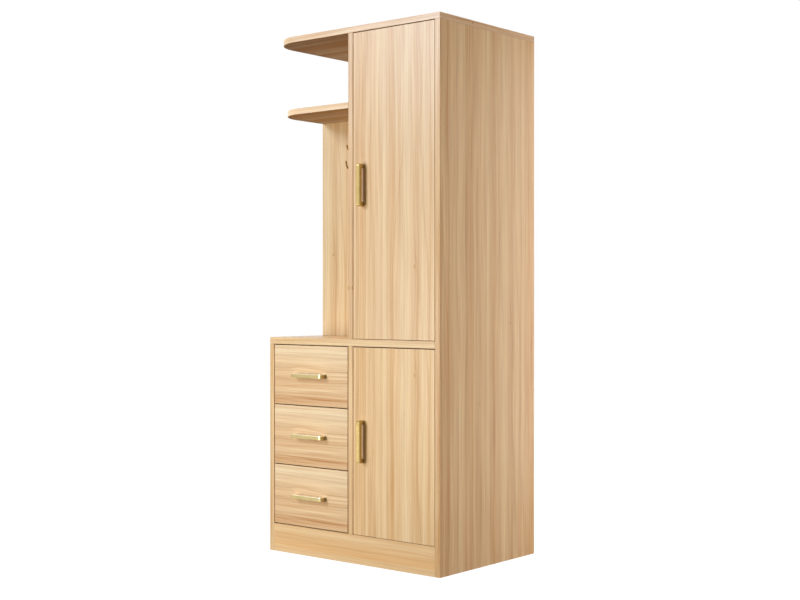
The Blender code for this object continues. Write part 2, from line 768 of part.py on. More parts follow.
def build_runners(name, middle_z, pivot, finishes):
    """Build the cabinet channels of a drawer and the drawer channels that run in them."""
    along_y = Matrix.Rotation(math.radians(90), 4, "X")
    back_y = DOOR_BACK_Y + RUNNER_SETBACK + RUNNER_LENGTH
    cabinet_depth = RUNNER_SPACE - SEAT_GAP - RUNNING_GAP - SEAT_GAP
    drawer_depth = cabinet_depth - RUNNER_SHEET
    nesting = RUNNER_SHEET + RUNNING_GAP
    drawer_height = RUNNER_HEIGHT - nesting - nesting
    cabinet_outline = channel_outline(cabinet_depth, RUNNER_HEIGHT)
    drawer_outline = channel_outline(drawer_depth, drawer_height)
    cabinet_mesh = prism_mesh("cabinet_channel", cabinet_outline, RUNNER_LENGTH, along_y)
    drawer_mesh = prism_mesh("drawer_channel", drawer_outline, RUNNER_LENGTH, along_y)
    half_turn = math.radians(180)
    front_y = back_y - RUNNER_LENGTH

    left_wall_x = HALL_LEFT_X + SEAT_GAP
    right_wall_x = HALL_RIGHT_X - SEAT_GAP
    left_box_x = HALL_LEFT_X + RUNNER_SPACE - SEAT_GAP
    right_box_x = HALL_RIGHT_X - RUNNER_SPACE + SEAT_GAP
    zinc = finishes["zinc"]
    add_object(f"{name}_left_cabinet_runner", cabinet_mesh, zinc, (left_wall_x, back_y, middle_z))
    right = add_object(
        f"{name}_right_cabinet_runner", cabinet_mesh, zinc, (right_wall_x, front_y, middle_z)
    )
    right.rotation_euler.z = half_turn
    left_drawer = add_object(
        f"{name}_left_drawer_runner", drawer_mesh, zinc, (left_box_x, front_y, middle_z), pivot
    )
    left_drawer.rotation_euler.z = half_turn
    add_object(
        f"{name}_right_drawer_runner", drawer_mesh, zinc, (right_box_x, back_y, middle_z), pivot
    )


def build_fronts(finishes):
    """Build the two doors and the column of drawers, all with one kind of pull."""
    pull = pull_mesh()
    cup = hinge_cup_mesh()
    arm = hinge_arm_mesh()
    upper_low_z = DESK_HEIGHT + DOOR_SILL_GAP
    upper_high_z = TOP_UNDER_Z - FRONT_GAP
    build_door("upper_door", upper_low_z, upper_high_z, pull, cup, arm, finishes)
    lower_low_z = KICK_HEIGHT + DOOR_SILL_GAP
    build_door("lower_door", lower_low_z, FRONTS_HIGH_Z, pull, cup, arm, finishes)
    pitch = (FRONTS_HIGH_Z - FRONTS_LOW_Z + FRONT_GAP) / DRAWER_COUNT
    for index in range(DRAWER_COUNT):
        high_z = FRONTS_HIGH_Z - index * pitch
        build_drawer(f"drawer_{index + 1}", high_z - pitch + FRONT_GAP, high_z, pull, finishes)


def main():
    """Build the wardrobe."""
    clear_scene()
    finishes = make_finishes()
    build_side_panels(finishes)
    build_centre_panels(finishes)
    build_level_boards(finishes)
    build_upright_panels(finishes)
    build_lower_shelf(finishes)
    build_hanging_rail(finishes)
    build_coat_hook(finishes)
    build_fronts(finishes)


main()
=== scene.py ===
"""Looks for the hall wardrobe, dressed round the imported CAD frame.

The boards keep their CAD shapes and get a printed wood foil, each cut from its own place
on the print. The fittings get their metals, and the small fasteners are built here.
Lengths are in metres unless a name ends in mm.
"""

import json
import logging
import math
from collections.abc import Callable
from dataclasses import dataclass, field
from enum import Enum

import bmesh
import bpy
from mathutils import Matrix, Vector

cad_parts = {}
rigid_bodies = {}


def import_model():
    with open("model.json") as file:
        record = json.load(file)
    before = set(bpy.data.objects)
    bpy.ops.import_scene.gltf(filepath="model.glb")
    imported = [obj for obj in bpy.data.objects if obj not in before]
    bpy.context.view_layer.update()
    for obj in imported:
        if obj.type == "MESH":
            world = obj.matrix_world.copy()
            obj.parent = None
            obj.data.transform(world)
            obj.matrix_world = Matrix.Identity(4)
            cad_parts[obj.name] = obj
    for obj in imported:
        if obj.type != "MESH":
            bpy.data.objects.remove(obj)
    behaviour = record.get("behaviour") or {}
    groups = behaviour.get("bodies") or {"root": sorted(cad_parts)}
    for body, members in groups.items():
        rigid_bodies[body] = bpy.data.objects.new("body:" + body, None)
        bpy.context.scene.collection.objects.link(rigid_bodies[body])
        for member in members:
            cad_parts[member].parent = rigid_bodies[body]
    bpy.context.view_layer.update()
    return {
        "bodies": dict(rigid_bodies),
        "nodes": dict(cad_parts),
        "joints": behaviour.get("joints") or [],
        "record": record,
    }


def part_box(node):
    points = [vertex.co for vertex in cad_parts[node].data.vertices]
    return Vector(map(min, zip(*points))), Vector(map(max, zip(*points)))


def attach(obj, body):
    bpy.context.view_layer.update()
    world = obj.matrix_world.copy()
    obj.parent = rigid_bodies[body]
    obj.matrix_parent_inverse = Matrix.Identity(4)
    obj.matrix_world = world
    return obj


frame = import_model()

log = logging.getLogger("wardrobe")

Node = bpy.types.Node
Socket = bpy.types.NodeSocket
Material = bpy.types.Material
Source = Node | Socket
Triple = tuple[float, float, float]

MM = 0.001
# How squarely a surface looks along an axis to count as facing that way, and how far from
# that the change from one finish to the next begins and ends
FACE_SHARE = 0.7
FACE_BLEND = 0.1
EASED = {"interpolation_type": "SMOOTHSTEP"}


class Axis(Enum):
    """An axis of the wardrobe's own frame."""

    X = 0
    Y = 1
    Z = 2


class Way(Enum):
    """Which way a place on the print grows along a board's axis."""

    WITH_AXIS = 1
    AGAINST_AXIS = -1


def linear(colour: str) -> tuple[float, float, float, float]:
    """Turn an sRGB hex colour such as "#C8A878" into a linear RGBA colour.

    Args:
        colour: The colour, six hex digits after a hash.

    Returns:
        Red, green, blue and a full alpha, each from 0 to 1.
    """
    shares = [int(colour[place:place + 2], 16) / 255 for place in (1, 3, 5)]
    levels = [
        share / 12.92 if share <= 0.04045 else ((share + 0.055) / 1.055) ** 2.4
        for share in shares
    ]
    return (*levels, 1.0)


@dataclass(frozen=True)
class Graph:
    """A node tree, with the ways to add to it.

    Attributes:
        tree: The tree.
    """

    tree: bpy.types.NodeTree

    @classmethod
    def afresh(cls, block: Material | bpy.types.World) -> "Graph":
        """Give a material or a world an empty node tree.

        Args:
            block: The material or world.

        Returns:
            The graph of its tree.
        """
        block.use_nodes = True
        block.node_tree.nodes.clear()
        return cls(block.node_tree)

    def add(self, kind: str, *inputs: object, **settings: object) -> Node:
        """Add a node with its settings, values and links.

        Args:
            kind: The node type without its "ShaderNode", then its operation if it has one.
            inputs: What its inputs get, in order: a node, a socket or a value each. A dict
                names or numbers the inputs itself.
            settings: The node's own settings.

        Returns:
            The new node.
        """
        kind, _, operation = kind.partition(" ")
        node = self.tree.nodes.new("ShaderNode" + kind)
        if operation:
            settings["operation"] = operation
        for name, value in settings.items():
            setattr(node, name, value)
        for number, given in enumerate(inputs):
            self.feed(node, given if isinstance(given, dict) else {number: given})
        return node

    def feed(self, node: Node, inputs: dict) -> None:
        """Link or set the inputs of a node.

        Args:
            node: The node.
            inputs: What each input gets, by name or number: a node, a socket or a value.
        """
        for name, value in inputs.items():
            if isinstance(value, Node):
                value = value.outputs[0]
            if isinstance(value, Socket):
                self.tree.links.new(value, node.inputs[name])
            else:
                node.inputs[name].default_value = value

    def edge_share(self, width: float) -> Node:
        """Add the nodes that find a surface's edges, where hands and cloths rub it.

        Args:
            width: How far from an edge the rubbing reaches.

        Returns:
            The node whose output is 1 right at an edge and 0 away from it.
        """
        untouched, rubbed = 0.995, 0.8  # The cosine of the angle by which the edge is rounded
        rounded = self.add("Bevel", {"Radius": width}, samples=4)
        shape = self.add("NewGeometry")
        alike = self.add("VectorMath DOT_PRODUCT", rounded, shape.outputs["Normal"])
        return self.add("MapRange", alike.outputs["Value"], untouched, rubbed, **EASED)

    def bottom_edge_share(self, width: float) -> Node:
        """Add the nodes that find a front's bottom edge, where a painted shade darkens it.

        Args:
            width: How far from the edge the painted shade reaches.

        Returns:
            The node whose output is 1 at a bottom edge and 0 elsewhere.
        """
        level, turned_down = -0.05, -0.35
        rounded = self.add("Bevel", {"Radius": width}, samples=4)
        turned = self.add("SeparateXYZ", rounded)
        return self.add("MapRange", turned.outputs[2], level, turned_down, **EASED)


@dataclass(frozen=True)
class Coat:
    """A new material, whose Principled shader waits for its inputs.

    Attributes:
        material: The material.
        graph: Its graph.
        shader: Its Principled shader.
        place: The place on the piece, in metres.
        outward: The way that the surface faces, by X, Y and Z.
    """

    material: Material
    graph: Graph
    shader: Node
    place: Socket
    outward: list[Socket]

    @classmethod
    def start(cls, name: str) -> "Coat":
        """Start a material.

        Args:
            name: The material's name.

        Returns:
            The coat.
        """
        material = bpy.data.materials.new(name)
        graph = Graph.afresh(material)
        shader = graph.add("BsdfPrincipled")
        graph.add("OutputMaterial", {"Surface": shader})
        where = graph.add("TexCoord")
        outward = graph.add("SeparateXYZ", where.outputs["Normal"])
        return cls(material, graph, shader, where.outputs["Object"], list(outward.outputs))

    def finish(
        self, colour: Source, rough: Node, height: Source, relief: float,
        **inputs: Node | float,
    ) -> Material:
        """Feed the shader.

        Args:
            colour: The base colour.
            rough: The roughness.
            height: The height of the surface's texture, from 0 to 1.
            relief: The depth of the texture, in metres.
            inputs: Other inputs of the shader, with _ for a blank.

        Returns:
            The material.
        """
        bump = self.graph.add("Bump", {"Height": height, "Distance": relief, "Strength": 1.0})
        others = {name.replace("_", " "): value for name, value in inputs.items()}
        self.graph.feed(
            self.shader, {"Base Color": colour, "Roughness": rough, "Normal": bump, **others}
        )
        return self.material


def set_curve(node: Node, points: list[tuple[float, float]]) -> None:
    """Give a float curve node its points.

    Args:
        node: The float curve node.
        points: Pairs of place and height, each from 0 to 1, in order.
    """
    curve = node.mapping.curves[0]
    while len(curve.points) > 2:
        curve.points.remove(curve.points[1])
    curve.points[0].location = points[0]
    curve.points[-1].location = points[-1]
    for place, height in points[1:-1]:
        curve.points.new(place, height)
    node.mapping.use_clip = False
    node.mapping.update()


# The printed foil


@dataclass(frozen=True)
class Streak:
    """One straight band of early or late wood in the print.

    Attributes:
        middle_mm: Its middle, across the grain.
        half_width_mm: How far from its middle it has mostly faded.
        tone: How much lighter it is than the ground, below zero where darker.
        warmth: How much more orange it is than the ground, below zero where creamier.
    """

    middle_mm: float
    half_width_mm: float
    tone: float
    warmth: float

    def share(self, place_mm: float) -> float:
        """Give how strongly the streak shows at a place across the grain, from 0 to 1."""
        return math.exp(-((place_mm - self.middle_mm) / self.half_width_mm) ** 2)


@dataclass(frozen=True)
class GrainLine:
    """One long dark line of the print, as it wanders down the grain.

    Attributes:
        places_mm: Pairs of distance along the grain and place across it.
        sharp_mm: How far the line fades on its far side.
        soft_mm: How far the line fades on its near side.
        depth: How much darker the line is at its middle.
        start_mm: Where along the grain the line sets in.
        end_mm: Where along the grain the line has gone.
    """

    places_mm: tuple[tuple[float, float], ...]
    sharp_mm: float
    soft_mm: float
    depth: float
    start_mm: float
    end_mm: float


@dataclass(frozen=True)
class Knot:
    """A pin knot of the print.

    Attributes:
        across_mm: Its place across the grain.
        along_mm: Its place along the grain.
        half_width_mm: Its half width across the grain.
        half_length_mm: Its half length along the grain.
        depth: How much darker it is.
    """

    across_mm: float
    along_mm: float
    half_width_mm: float
    half_length_mm: float
    depth: float


@dataclass(frozen=True)
class Layer:
    """One layer of long noise that follows the grain.

    Attributes:
        across_mm: The noise's size across the grain.
        along_mm: The noise's size along the grain.
        detail: The noise's finer octaves.
        swing: The whole range of the layer, which is centred on zero.
    """

    across_mm: float
    along_mm: float
    detail: float
    swing: float


@dataclass(frozen=True)
class LarchPrint:
    """The decor print that all foiled boards share: plain sawn larch, one sheet of it.

    It is built once, as a node group that takes a place on the sheet in millimetres (across
    the grain, along the grain) and gives the print's tone, warmth and relief there.

    Attributes:
        width_mm: How much of the sheet's width is described; beyond it the ground is plain.
        length_mm: How much of the sheet's length is described.
        pitch_mm: The spacing at which the streaks are drawn.
        join_mm: Where two sawn strips meet in the print, a sharp line along the grain.
        join_blur_mm: How wide the change at that line is.
        swing: The largest tone or warmth that the streaks can add up to, either way.
        streaks: The straight bands.
        lines: The long wandering lines.
        knots: The pin knots.
        calm_mm: Between these places across the sheet its fine figure fades.
        calm: How much of the fine figure is left beyond them.
        wanders: How far the grain strays sideways, in mm, from wide bends to small ones.
        vigour: How much stronger the bands are in some places.
        vigour_mean: How strong the bands are on the whole.
        drift: How the warmth varies apart from the bands.
        broad: The slow change of tone over a board.
        rings: The growth rings.
        fibres: The fibres.
        pores: The pores, drawn coarser than real ones so that they show.
        knot_rim: How many half sizes from its middle a knot has faded.
        knot_core: How many half sizes from its middle a knot is darkest.
        fade_parts: The part of its length over which a line sets in, as one over this.
    """

    width_mm: float = 900.0
    length_mm: float = 2300.0
    pitch_mm: float = 5.0
    join_mm: float = 305.0
    join_blur_mm: float = 0.5
    swing: float = 0.3
    streaks: tuple[Streak, ...] = tuple(Streak(*row) for row in (
        (5, 7, -0.08, 0.03), (39, 10, -0.11, 0.06), (58, 6, 0.04, 0.0), (81, 6, 0.05, 0.0),
        (92, 3, -0.07, 0.02), (104, 8, 0.08, -0.04), (122, 12, 0.06, -0.03),
        (142, 6, -0.13, 0.06), (162, 12, -0.06, 0.05), (175, 4, -0.07, 0.05),
        (187, 5, 0.06, -0.01), (198, 5, -0.05, 0.02), (217, 6, -0.04, 0.02),
        (234, 9, 0.06, -0.02), (261, 7, 0.11, -0.05), (283, 9, -0.05, 0.03),
        (299, 8, -0.11, 0.07), (322, 6, -0.04, 0.03), (354, 17, 0.08, -0.05),
        (396, 8, -0.05, 0.03), (426, 12, 0.05, -0.02), (450, 8, -0.08, 0.06), (466, 6, 0.07, 0.0),
        (484, 10, -0.03, 0.08), (501, 5, -0.09, 0.10), (517, 11, -0.13, 0.16),
        (560, 14, 0.05, -0.02), (598, 12, -0.06, 0.03), (628, 10, 0.04, 0.0),
        (659, 4, -0.05, 0.05), (666, 24, 0.095, -0.12), (706, 22, 0.01, -0.04),
        (752, 7, -0.03, 0.03), (768, 6, -0.04, 0.03), (788, 10, -0.02, 0.02),
        (806, 7, 0.0, -0.01), (832, 13, -0.10, 0.03), (846, 8, -0.06, 0.03),
        (812, 4, -0.06, 0.03),
    ))
    lines: tuple[GrainLine, ...] = (
        GrainLine(
            ((0, 407), (240, 413), (440, 416), (523, 410), (607, 415), (707, 425),
             (773, 426), (882, 435), (1000, 446), (1200, 452), (1500, 457), (1900, 462)),
            1.6, 6.0, 0.13, 60, 1500,
        ),
        GrainLine(
            ((0, 378), (480, 380), (600, 383), (800, 384), (930, 389), (1000, 400),
             (1107, 402), (1410, 409), (1650, 423), (1900, 430)),
            1.6, 5.0, 0.12, 520, 1850,
        ),
        GrainLine(
            ((0, 350), (400, 346), (590, 338), (690, 325), (790, 312), (940, 300),
             (1200, 296), (1900, 290)),
            5.0, 1.6, 0.10, 440, 1500,
        ),
        # The wavy dark line under the middle of each drawer front, and its fainter echo
        GrainLine(((0, 726), (1920, 729), (1990, 728), (2035, 724), (2090, 727), (2160, 735),
                   (2230, 738), (2300, 739)), 1.6, 7.0, 0.10, 1700, 2700),
        GrainLine(((0, 760), (1920, 763), (2040, 758), (2130, 766), (2300, 772)),
                  2.0, 6.0, 0.05, 1700, 2700),
        # The fine lines along the bottom of each drawer front, which sink to the right
        GrainLine(((0, 812), (1920, 818), (2040, 828), (2150, 834), (2300, 838)),
                  1.5, 3.0, 0.07, 1700, 2700),
        GrainLine(((0, 832), (1920, 836), (2060, 845), (2180, 849), (2300, 853)),
                  1.5, 3.0, 0.08, 1700, 2700),
        GrainLine(((0, -6), (500, 0), (700, 14), (870, 26), (1000, 38), (1290, 45), (1900, 46)),
                  2.5, 7.0, 0.11, 480, 1700),
        GrainLine(((0, 126), (300, 129), (700, 124), (1100, 131), (1900, 127)),
                  1.8, 3.5, 0.05, 0, 900),
        GrainLine(((0, 205), (400, 212), (900, 207), (1050, 214), (1220, 205), (1900, 211)),
                  1.8, 4.0, 0.06, 850, 1750),
        # The broad dark band that slowly sets in down the right side panel's edge band
        GrainLine(((0, 600), (1900, 600)), 14.0, 14.0, 0.16, 500, 1900),
    )
    knots: tuple[Knot, ...] = (
        Knot(386, 976, 2.6, 6.5, 0.26),
        Knot(322, 668, 1.8, 5.5, 0.10),
        Knot(348, 1104, 2.2, 6.0, 0.10),
        Knot(216, 1240, 2.4, 8.0, 0.12),
    )
    calm_mm: tuple[float, float] = (600.0, 630.0)
    calm: float = 0.8
    wanders: tuple[Layer, ...] = (
        Layer(120, 850, 1.0, 9.0), Layer(60, 380, 1.0, 6.0), Layer(24, 170, 1.0, 3.6)
    )
    vigour: Layer = Layer(45, 420, 1.0, 1.7)
    vigour_mean: float = 1.2
    drift: Layer = Layer(15, 700, 1.0, 0.12)
    broad: Layer = Layer(42, 900, 1.0, 0.16)
    rings: Layer = Layer(9, 460, 2.0, 0.32)
    fibres: Layer = Layer(4.2, 290, 2.0, 0.38)
    pores: Layer = Layer(0.8, 26, 1.0, 0.10)
    knot_rim: float = 1.6
    knot_core: float = 0.3
    fade_parts: float = 5.0

    def group(self) -> bpy.types.NodeTree:
        """Build the print's node group.

        Returns:
            The node group, with the input Place and the outputs Tone, Warmth and Relief.
        """
        tree = bpy.data.node_groups.new("larch_print", "ShaderNodeTree")
        graph = Graph(tree)
        tree.interface.new_socket("Place", in_out="INPUT", socket_type="NodeSocketVector")
        for name in ("Tone", "Warmth", "Relief"):
            tree.interface.new_socket(name, in_out="OUTPUT", socket_type="NodeSocketFloat")
        source = tree.nodes.new("NodeGroupInput")
        result = tree.nodes.new("NodeGroupOutput")
        place = source.outputs["Place"]

        parts = graph.add("SeparateXYZ", place)
        across, along = parts.outputs[0], parts.outputs[1]
        for layer in self.wanders:
            across = graph.add("Math ADD", across, self._noise(graph, place, layer))
        drawn = graph.add("CombineXYZ", across, along)

        vigour = graph.add("Math ADD", self._noise(graph, place, self.vigour), self.vigour_mean)
        tone = self._bands(graph, across, lambda streak: streak.tone)
        tone = graph.add("Math MULTIPLY", tone, vigour)
        warmth = self._bands(graph, across, lambda streak: streak.warmth)
        warmth = graph.add("Math ADD", warmth, self._noise(graph, drawn, self.drift))
        for line in self.lines:
            mark = self._line_mark(graph, across, along, line)
            tone = graph.add("Math MULTIPLY_ADD", mark, -line.depth, tone)
        for knot in self.knots:
            mark = self._knot_mark(graph, across, along, knot)
            tone = graph.add("Math MULTIPLY_ADD", mark, -knot.depth, tone)

        # The fine figure, which the calm part of the sheet shows more faintly
        relief = graph.add(
            "Math ADD", *(self._noise(graph, drawn, layer) for layer in (self.fibres, self.pores))
        )
        fine = graph.add("Math ADD", self._noise(graph, drawn, self.rings), relief)
        figured = graph.add("MapRange", across, *self.calm_mm, 1.0, self.calm)
        fine = graph.add("Math MULTIPLY", fine, figured)
        for part in (fine, self._noise(graph, drawn, self.broad)):
            tone = graph.add("Math ADD", tone, part)
        graph.feed(result, {"Tone": tone, "Warmth": warmth, "Relief": relief})
        return tree

    def _noise(self, graph: Graph, place: Source, layer: Layer) -> Node:
        """Add a layer of noise.

        Args:
            graph: The group's graph.
            place: The place on the sheet, in mm.
            layer: The layer.

        Returns:
            The node whose output is the noise.
        """
        sizes = (1 / layer.across_mm, 1 / layer.along_mm, 1.0)
        scaled = graph.add("VectorMath MULTIPLY", place, sizes)
        noise = graph.add(
            "TexNoise", {"Vector": scaled, "Scale": 1.0, "Detail": layer.detail},
            noise_dimensions="2D",
        )
        return graph.add("Math MULTIPLY_ADD", noise, layer.swing, -layer.swing / 2)

    def _bands(self, graph: Graph, across: Node, part: Callable[[Streak], float]) -> Node:
        """Add one property of the straight bands, drawn across the grain.

        Args:
            graph: The group's graph.
            across: The place across the grain, in mm.
            part: Gives the property of a streak.

        Returns:
            The node whose output is the property at that place.
        """
        count = round(self.width_mm / self.pitch_mm)
        places = [self.pitch_mm * step for step in range(count + 1)]
        places = sorted([*places, self.join_mm - self.join_blur_mm])
        points = []
        for place in places:
            total = sum(
                part(streak) * streak.share(place)
                for streak in self.streaks
                if (streak.middle_mm < self.join_mm) == (place < self.join_mm)
            )
            points.append((place / self.width_mm, 0.5 + total / self.swing / 2))
        share = graph.add("Math MULTIPLY", across, 1 / self.width_mm)
        curve = graph.add("FloatCurve", {"Value": share})
        set_curve(curve, points)
        return graph.add("Math MULTIPLY_ADD", curve, 2 * self.swing, -self.swing)

    def _line_mark(self, graph: Graph, across: Node, along: Socket, line: GrainLine) -> Node:
        """Add one wandering line.

        Args:
            graph: The group's graph.
            across: The place across the grain, in mm.
            along: The place along the grain, in mm.
            line: The line.

        Returns:
            The node whose output is 1 in its middle and 0 away from it.
        """
        share = graph.add("Math MULTIPLY", along, 1 / self.length_mm)
        middle = graph.add("FloatCurve", {"Value": share})
        set_curve(middle, [
            (down / self.length_mm, side / self.width_mm) for down, side in line.places_mm
        ])
        middle = graph.add("Math MULTIPLY", middle, self.width_mm)
        off = graph.add("Math SUBTRACT", across, middle)
        far = graph.add("Math MULTIPLY", off, 1 / line.sharp_mm)
        near = graph.add("Math MULTIPLY", off, -1 / line.soft_mm)
        apart = graph.add("Math MAXIMUM", far, near)
        square = graph.add("Math MULTIPLY", apart, apart)
        less = graph.add("Math MULTIPLY", square, -1.0)
        mark = graph.add("Math EXPONENT", less)
        fade = (line.end_mm - line.start_mm) / self.fade_parts
        sets_in = graph.add("MapRange", along, line.start_mm, line.start_mm + fade, **EASED)
        goes = graph.add("MapRange", along, line.end_mm, line.end_mm - fade, **EASED)
        shown = graph.add("Math MULTIPLY", sets_in, goes)
        return graph.add("Math MULTIPLY", mark, shown)

    def _knot_mark(self, graph: Graph, across: Node, along: Socket, knot: Knot) -> Node:
        """Add one pin knot.

        Args:
            graph: The group's graph.
            across: The place across the grain, in mm.
            along: The place along the grain, in mm.
            knot: The knot.

        Returns:
            The node whose output is 1 in its middle and 0 away from it.
        """
        wide, long = 1 / knot.half_width_mm, 1 / knot.half_length_mm
        side = graph.add("Math MULTIPLY_ADD", across, wide, -knot.across_mm * wide)
        down = graph.add("Math MULTIPLY_ADD", along, long, -knot.along_mm * long)
        both = graph.add("CombineXYZ", side, down)
        apart = graph.add("VectorMath LENGTH", both)
        return graph.add("MapRange", apart.outputs["Value"], self.knot_rim, self.knot_core, **EASED)


@dataclass(frozen=True)
class FoilCut:
    """Where on the print a board's covering was cut, and how it lies on the board.

    Attributes:
        grain: The board's axis that the grain follows.
        face: The axis that the board's broad faces look along.
        across_mm: The place across the print at the board's across_from.
        along_mm: The place along the print at the board's along_from.
        across_from: A coordinate on the board's width axis.
        along_from: A coordinate on the grain axis.
        across_way: Which way the print grows along the width axis.
        along_way: Which way the print grows along the grain axis.
        edge_mm: The place across the print at the middle of the edge bands.
        ink: How strongly the print was inked on that board.
        edge_gloss: How much of the lacquer's gloss the edge bands have.
        painted_light_and_shade: How much red, green and blue of the base the board's foil is scaled
            by, set board by board as painted light and shade for how that board is lit.
        edge_painted_light_and_shade: How much of the foil's colour its edge bands show: above one a
            painted highlight, below one a painted shade that darkens the gaps between parts.
        underside_painted_shade: How much of the foil's colour is left on faces that look down, a
            painted shade.
        bottom_edge_painted_shade: How much of the foil's colour is left along a front's bottom
            edge, a painted shade that widens the dark gap below it, if it has one.
    """

    grain: Axis
    face: Axis
    across_mm: float
    along_mm: float
    across_from: float
    along_from: float
    across_way: Way = Way.WITH_AXIS
    along_way: Way = Way.AGAINST_AXIS
    edge_mm: float = 400.0
    ink: float = 1.0
    edge_gloss: float = 1.0
    painted_light_and_shade: Triple = (1.0, 1.0, 1.0)
    edge_painted_light_and_shade: Triple = (1.0, 1.0, 1.0)
    underside_painted_shade: Triple = (0.64, 0.64, 0.64)
    bottom_edge_painted_shade: Triple | None = None


@dataclass(frozen=True)
class LarchFoil:
    """Printed and lacquered decor foil on chipboard, with a pore texture pressed in.

    It gives the eye a pale, warm, evenly satin wood whose darker stripes are also redder.
    Faces that look down carry the same print as a matt counter foil, darkened there by a painted
    shade.

    Attributes:
        decor: The print's node group.
        base: The foil's mean colour.
        tone_tint: How much a tone changes red, green and blue.
        warm_tint: How much a warmth changes red, green and blue.
        roughness: The lacquer's roughness between the pores.
        roughness_swing: How much rougher the darkest fibres are.
        pore_depth: The depth of the pressed pores.
        counter_roughness: How much rougher the counter foil is.
        gloss: The lacquer's specular level, which the counter foil lacks.
        rub_width: How far from an edge the lacquer has been rubbed.
        rub_shine: How much smoother the rubbed edge is.
        rub_shade: How much paler the rubbed edge is.
        bottom_shade_width: How far from a front's bottom edge the painted shade along it reaches.
        band_half_mm: Half the width of the printed strip that the edge bands show.
    """

    decor: bpy.types.NodeTree
    base: str = "#E8C390"
    tone_tint: Triple = (1.08, 1.75, 2.6)
    warm_tint: Triple = (0.35, -0.15, -0.9)
    roughness: float = 0.33
    roughness_swing: float = 0.4
    pore_depth: float = 0.00012
    counter_roughness: float = 0.4
    gloss: float = 0.5
    rub_width: float = 0.0015
    rub_shine: float = 0.08
    rub_shade: float = 0.1
    bottom_shade_width: float = 0.002
    band_half_mm: float = 20.0

    def material(self, name: str, cut: FoilCut) -> Material:
        """Make the foil's material for one board.

        Args:
            name: The board's name, which the material's name ends in.
            cut: Where on the print the foil was cut.

        Returns:
            The material.
        """
        coat = Coat.start("larch_foil_lacquered_" + name)
        graph = coat.graph
        facing = graph.add("Math ABSOLUTE", coat.outward[cut.face.value])
        place = self._place(coat, cut, facing)
        decor = graph.add("Group", {"Place": place.outputs[1]}, node_tree=self.decor)
        tone, warmth, relief = decor.outputs
        # Faces that look down: a matt counter foil, with a painted shade on its colour
        counter = graph.add("Math LESS_THAN", coat.outward[2], -FACE_SHARE)

        tint = tuple(cut.ink * part for part in self.tone_tint)
        # Each board's colour is scaled by its own painted light and shade
        colour = graph.add("VectorMath MULTIPLY_ADD", tone, tint, cut.painted_light_and_shade)
        colour = graph.add("VectorMath MULTIPLY_ADD", warmth, self.warm_tint, colour)
        colour = graph.add("VectorMath MULTIPLY", colour, linear(self.base)[:3])
        # The edge bands' mask, used for the painted highlights and painted shade on edge bands and
        # for their lower gloss
        edge = graph.add("MapRange", facing, FACE_SHARE + FACE_BLEND, FACE_SHARE - FACE_BLEND)
        # Painted light and shade on the edge bands, on faces that look down and along a front's
        # bottom edge
        painted_tints = [(edge, cut.edge_painted_light_and_shade), (counter, cut.underside_painted_shade)]
        # A front's bottom edge gets a painted shade that widens the dark gap below it
        if cut.bottom_edge_painted_shade:
            painted_tints.append((graph.bottom_edge_share(self.bottom_shade_width), cut.bottom_edge_painted_shade))
        for share, painted_light_and_shade in painted_tints:
            change = tuple(part - 1 for part in painted_light_and_shade)
            left = graph.add("VectorMath MULTIPLY_ADD", share, change, (1.0, 1.0, 1.0))
            colour = graph.add("VectorMath MULTIPLY", colour, left)
        rub = graph.edge_share(self.rub_width)
        shade = graph.add("Math MULTIPLY_ADD", rub, self.rub_shade, 1.0)
        colour = graph.add("VectorMath SCALE", colour, {"Scale": shade})
        rough = graph.add("Math MULTIPLY_ADD", relief, -self.roughness_swing, self.roughness)
        rough = graph.add("Math MULTIPLY_ADD", rub, -self.rub_shine, rough)
        rough = graph.add("Math MULTIPLY_ADD", counter, self.counter_roughness, rough)
        gloss = graph.add("Math MULTIPLY_ADD", counter, -self.gloss, self.gloss)
        shine = graph.add("Math MULTIPLY_ADD", edge, cut.edge_gloss - 1, 1.0)
        gloss = graph.add("Math MULTIPLY", gloss, shine)
        return coat.finish(colour, rough, relief, self.pore_depth, Specular_IOR_Level=gloss)

    def _place(self, coat: Coat, cut: FoilCut, facing: Node) -> Node:
        """Add the nodes that turn a point of the board into a place on the print.

        Args:
            coat: The board's material.
            cut: Where on the print the foil was cut.
            facing: The node that says how squarely the surface looks out of a broad face.

        Returns:
            The node whose second output is the place, in mm.
        """
        graph = coat.graph
        point = graph.add("SeparateXYZ", coat.place).outputs
        width = 3 - cut.grain.value - cut.face.value
        way = cut.across_way.value / MM
        start = cut.across_mm - way * cut.across_from
        across = graph.add("Math MULTIPLY_ADD", point[width], way, start)
        way = cut.along_way.value / MM
        start = cut.along_mm - way * cut.along_from
        along = graph.add("Math MULTIPLY_ADD", point[cut.grain.value], way, start)
        edge_across = graph.add("Math MULTIPLY_ADD", point[cut.face.value], 1 / MM, cut.edge_mm)
        edge_across = graph.add("Math PINGPONG", edge_across, 2 * self.band_half_mm)
        edge_across = graph.add("Math ADD", edge_across, cut.edge_mm - self.band_half_mm)
        edge_along = graph.add("Math ADD", along, across)
        on_face = graph.add("CombineXYZ", across, along)
        on_edge = graph.add("CombineXYZ", edge_across, edge_along)
        is_face = graph.add("Math GREATER_THAN", facing, FACE_SHARE)
        return graph.add("Mix", {0: is_face, 4: on_edge, 5: on_face}, data_type="VECTOR")


# The other finishes


